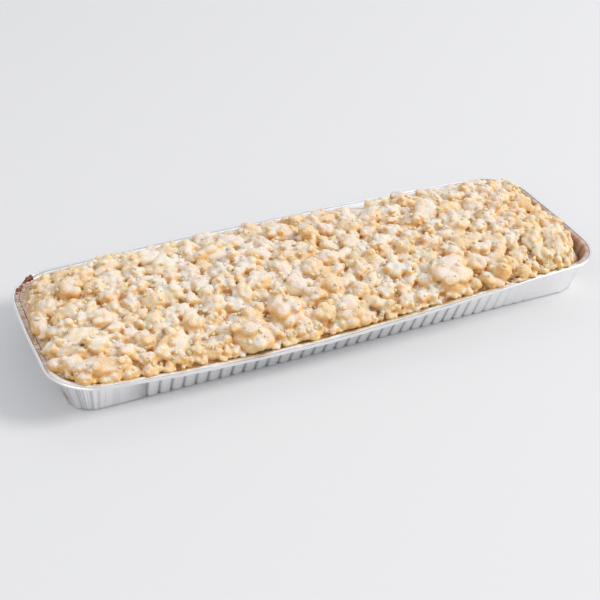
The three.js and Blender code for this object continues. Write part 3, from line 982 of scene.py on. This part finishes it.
def strewn(plan, radii, heights, rng, library):
    """Small crumbs of given radii with their middles at places of the plan and heights:
    points, faces and each point's tone."""
    shapes, faces = library
    count = len(plan)
    picked = shapes[rng.integers(0, len(shapes), count)]
    axes = radii[:, None] * rng.uniform(0.75, 1.3, (count, 3))
    angles = rng.uniform(0, 2 * math.pi, (count, 3))
    turners = np.array([Euler(angle).to_matrix() for angle in angles])
    points = np.einsum("nij,npj->npi", turners, picked * axes[:, None, :])
    points += lifted(plan, heights)[:, None]
    each = picked.shape[1]
    all_faces = faces[None] + each * np.arange(count)[:, None, None]
    tones = np.repeat(rng.uniform(0, 1, count), each)
    return points.reshape(-1, 3), [all_faces.reshape(-1, faces.shape[1])], tones


def edge_crumbs(rng):
    """Small crumbs in an uneven row where the heap meets the flange."""
    stations = plain_stations(300, 90, 40)
    outline = ring_plan(stations, BED_SECTION[0][0], BED_END_GAP)
    along = np.cumsum(np.linalg.norm(np.roll(outline, -1, 0) - outline, axis=1))
    plan, radii, heights = [], [], []
    reached = 0.0
    while reached < along[-1]:
        size = EDGE_RADIUS + EDGE_RANGE * rng.uniform() ** 1.6
        inset = EDGE_INSET + 0.62 * size + rng.uniform(0, 4.2)
        ring = ring_plan(stations, inset, BED_END_GAP)
        plan.append(ring[np.searchsorted(along, reached) % len(ring)])
        radii.append(size)
        height = EDGE_HEIGHT + 0.5 * size + rng.uniform(-0.8, 1.0)
        heights.append(min(height, sight_limit(*plan[-1]) - 0.9 * size))
        reached += size * rng.uniform(0.4, 2.4)
    library = crumb_library(rng, *EDGE_SHAPES)
    points, faces, tones = strewn(np.array(plan), np.array(radii), heights, rng, library)
    points += knobbly(points, 2.0, 51)[:, None] * (0.2, 0.2, 0.5)
    return points, faces, tones


def fallen_sugar(points, surface):
    """How thickly icing sugar fell on each point: less where the heap stands over it."""
    amount = np.full(len(points), SUGAR_BASE)
    for x, y, radius, extra in SUGAR_PATCHES:
        apart = np.hypot(points[:, 0] - x, points[:, 1] - y) / radius
        amount += extra * np.exp(-apart * apart)
    return clamp(amount) * (1 - smooth_step(surface.at(points) - points[:, 2], 0.8, 3.0))


def strewn_over(surface, rng, count, sizes, shapes, sunk, in_hollows):
    """Crumbs strewn over the heap, more of them in its hollows and near its edge."""
    low = surface.blurred(5)
    plan, radii = [], []
    while len(plan) < count:
        spot = rng.uniform(-0.5, 0.5, 2) * (LENGTH, WIDTH)
        size = sizes[0] + (sizes[1] - sizes[0]) * rng.uniform() ** 1.7
        inset = inset_of(*spot)
        if inset < BED_SECTION[0][0] + size * 0.6:
            continue
        top = surface.at(spot[None])[0]
        sinks = surface.at(spot[None], low)[0] - top
        hollow = smooth_step(sinks, -1.5, 3) + 0.5 * smooth_step(inset, 16, 9)
        hidden = top + 1.3 * size > sight_limit(*spot)
        if hidden or rng.uniform() > 1 - in_hollows + in_hollows * hollow:
            continue
        plan.append(spot)
        radii.append(size)
    plan, radii = np.array(plan), np.array(radii)
    heights = surface.at(plan) + radii * (0.5 - sunk)
    return strewn(plan, radii, heights, rng, crumb_library(rng, *shapes))


def baked_crumbs(surface, rng):
    """All that has baked together, as meshes. The crumbs among them raise the map."""
    crumbs = scatter_crumbs()
    radius = (crumbs[:, 2] + crumbs[:, 3]) / 2
    together = []

    def bake(made):
        together.append(made)
        surface.raise_to(made[0], made[2])

    most = math.inf
    for least, cuts, core, blobs in CRUMB_KINDS:
        bake(sized_crumbs(crumbs[(radius > least) & (radius <= most)], cuts, core, blobs, rng))
        most = least
    for kind in STREWN_BAKED:
        bake(strewn_over(surface, rng, *kind))
    bake(edge_crumbs(rng))
    return [*together, bed()]


def baked_looks(points, quads, normals, surface):
    """How golden, how low and how sugared each point of the fused crumbs is. How low it is sets
    painted shade, in creases and hollows and where it lies under its surroundings.
    """
    soft = relaxed(points, quads, 10)
    softer = relaxed(soft, quads, 40)
    crease = ((soft - points) * normals).sum(axis=1)
    hollow = ((softer - points) * normals).sum(axis=1)
    # Painted shade in the creases and hollows.
    low = 0.5 * smooth_step(crease, 0.06, 0.45) + 0.65 * smooth_step(hollow, 0.1, 1.5)
    under = surface.at(points, surface.blurred(SURROUNDINGS)) - points[:, 2]
    tone = surface.at(points, surface.blurred(1, surface.tone))
    return {
        "tone": clamp(0.7 * tone + 0.45 * lattice_noise(points, 26, 35) + 0.12),
        # Painted shade also where a point lies under its surroundings.
        "low": clamp(low + 0.8 * smooth_step(under, 0.5, 6.0)),
        "sugar": fallen_sugar(points, surface) * (1 - 0.7 * smooth_step(hollow, 0.0, 1.2)),
    }


def streusel():
    """The heap: one fused surface of crumbs, cut in three, and loose crumbs on top of it."""
    rng = np.random.default_rng(LOOKS_SEED)
    surface = HeightMap()
    points, quads = fused(baked_crumbs(surface, rng), FUSING_VOXEL)
    points, quads, _ = kept(points, quads, main_part(len(points), quads))
    points = relaxed(points, quads, 1)
    relief = 0.12 * knobbly(points, 2.4, 33) + 0.08 * lattice_noise(points, 1.2, 34)
    points = points + normals_of(points, quads) * relief[:, None]
    normals = normals_of(points, quads)
    surface.raise_to(points)
    proud = surface.blurred(SURROUNDINGS) + PROUD_FROM
    points[:, 2] -= PROUD_SHARE * np.maximum(points[:, 2] - surface.at(points, proud), 0)
    surface.height -= PROUD_SHARE * np.maximum(surface.height - proud, 0)
    surface.raise_to(points)
    looks = baked_looks(points, quads, normals, surface)
    wide_view = surface.blurred(SURROUNDINGS)

    material = streusel_material()
    x, _, z = points[quads].mean(axis=1).T
    for name, start, end in zip(("streusel_left", "streusel_middle", "streusel_right"), SEAMS, SEAMS[1:]):
        chosen = (x > start - SEAM_LAP) & (x < end + SEAM_LAP) & (z > BED_FOOT[1] - CUT_DEPTH)
        part, faces, used = kept(points, quads, chosen)
        past = np.maximum(start - part[:, 0], part[:, 0] - end)
        part = part - normals[used] * (LAP_DIP * clamp(past, 0, 9)**2)[:, None]
        part, faces = closed_below(part, faces, BED_FOOT[1] - CLOSED_DEPTH)
        hidden = np.zeros(len(part) - len(used))
        part_looks = {label: np.append(values[used], hidden) for label, values in looks.items()}
        make_piece(name, settled(part), faces, material, "streusel", "crumb_topping", **part_looks)

    for name, kind in STREWN_LOOSE.items():
        points, faces, tone = strewn_over(surface, rng, *kind)
        surface.raise_to(points)
        # Painted shade on loose crumbs that lie under their surroundings.
        low = 0.5 * smooth_step(surface.at(points, wide_view) - points[:, 2], 1, 8)
        make_piece(
            name, settled(points), faces, material, "streusel", "crumb_topping",
            tone=tone, low=low, sugar=fallen_sugar(points, surface))


def caramelised_bits(rng):
    """Dark bits where sugar ran to the left back corner."""
    x, y, radii, heights = np.array(CARAMEL).T
    plan = np.column_stack([x, y])
    points, faces, _ = strewn(plan, radii, heights, rng, crumb_library(rng, *CARAMEL_SHAPES))
    points += 0.25 * knobbly(points, 1.8, 71)[:, None]
    make_piece("caramelised_bits", bent(points), faces, caramel_material(), "crust", "dough")


def bed():
    """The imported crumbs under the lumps, seen in the gaps between them."""
    stations = plain_stations(130, 36, 15)
    rings = [lifted(ring_plan(stations, BED_FOOT[0], BED_END_GAP), BED_FOOT[1] - 3)]
    for inset in [BED_SECTION[0][0], *np.arange(7.6, 66, 3)]:
        plan = ring_plan(stations, inset, BED_END_GAP)
        relief = 0.9 * lattice_noise(lifted(plan, 0), 4.2, 41) * smooth_step(inset, 6.5, 9)
        rings.append(lifted(plan, core_top(*plan.T) - 1.3 * smooth_step(inset, 11, 7) + relief))
    return loft(rings)


# ---- Room ----


def studio():
    """A pale floor, soft lights from the right, the left and behind, and a bright room."""
    bpy.ops.mesh.primitive_plane_add(size=FLOOR_SIZE)
    floor = bpy.context.object
    floor.name = "floor"
    floor.data.materials.append(floor_material())
    world = bpy.data.worlds.new("room")
    bpy.context.scene.world = world
    world.use_nodes = True
    room = world.node_tree.nodes["Background"]
    room.inputs["Color"].default_value = ROOM_TINT
    room.inputs["Strength"].default_value = ROOM_STRENGTH
    for name, (place, size, power, tint) in LIGHTS.items():
        lamp = bpy.data.lights.new(name, "AREA")
        lamp.shape = "SQUARE"
        lamp.size = size
        lamp.energy = power
        lamp.color = tint
        light = new_object(name, lamp)
        light.location = place
        light.rotation_euler = (-light.location).to_track_quat("-Z", "Y").to_euler()


def camera():
    """The photograph's camera, fitted to the tray."""
    lens = bpy.data.cameras.new("photo_camera")
    lens.lens = CAMERA_LENS
    lens.sensor_width = CAMERA_SENSOR
    lens.clip_start = 0.01
    view = new_object("photo_camera", lens)
    view.location = CAMERA_PLACE
    view.rotation_euler = [math.radians(angle) for angle in CAMERA_TURN]
    bpy.context.scene.camera = view


camera()
studio()
foil_tray()
dough_edge()
streusel()
caramelised_bits(np.random.default_rng(LOOKS_SEED + 1))
bpy.context.scene.view_settings.view_transform = "Standard"
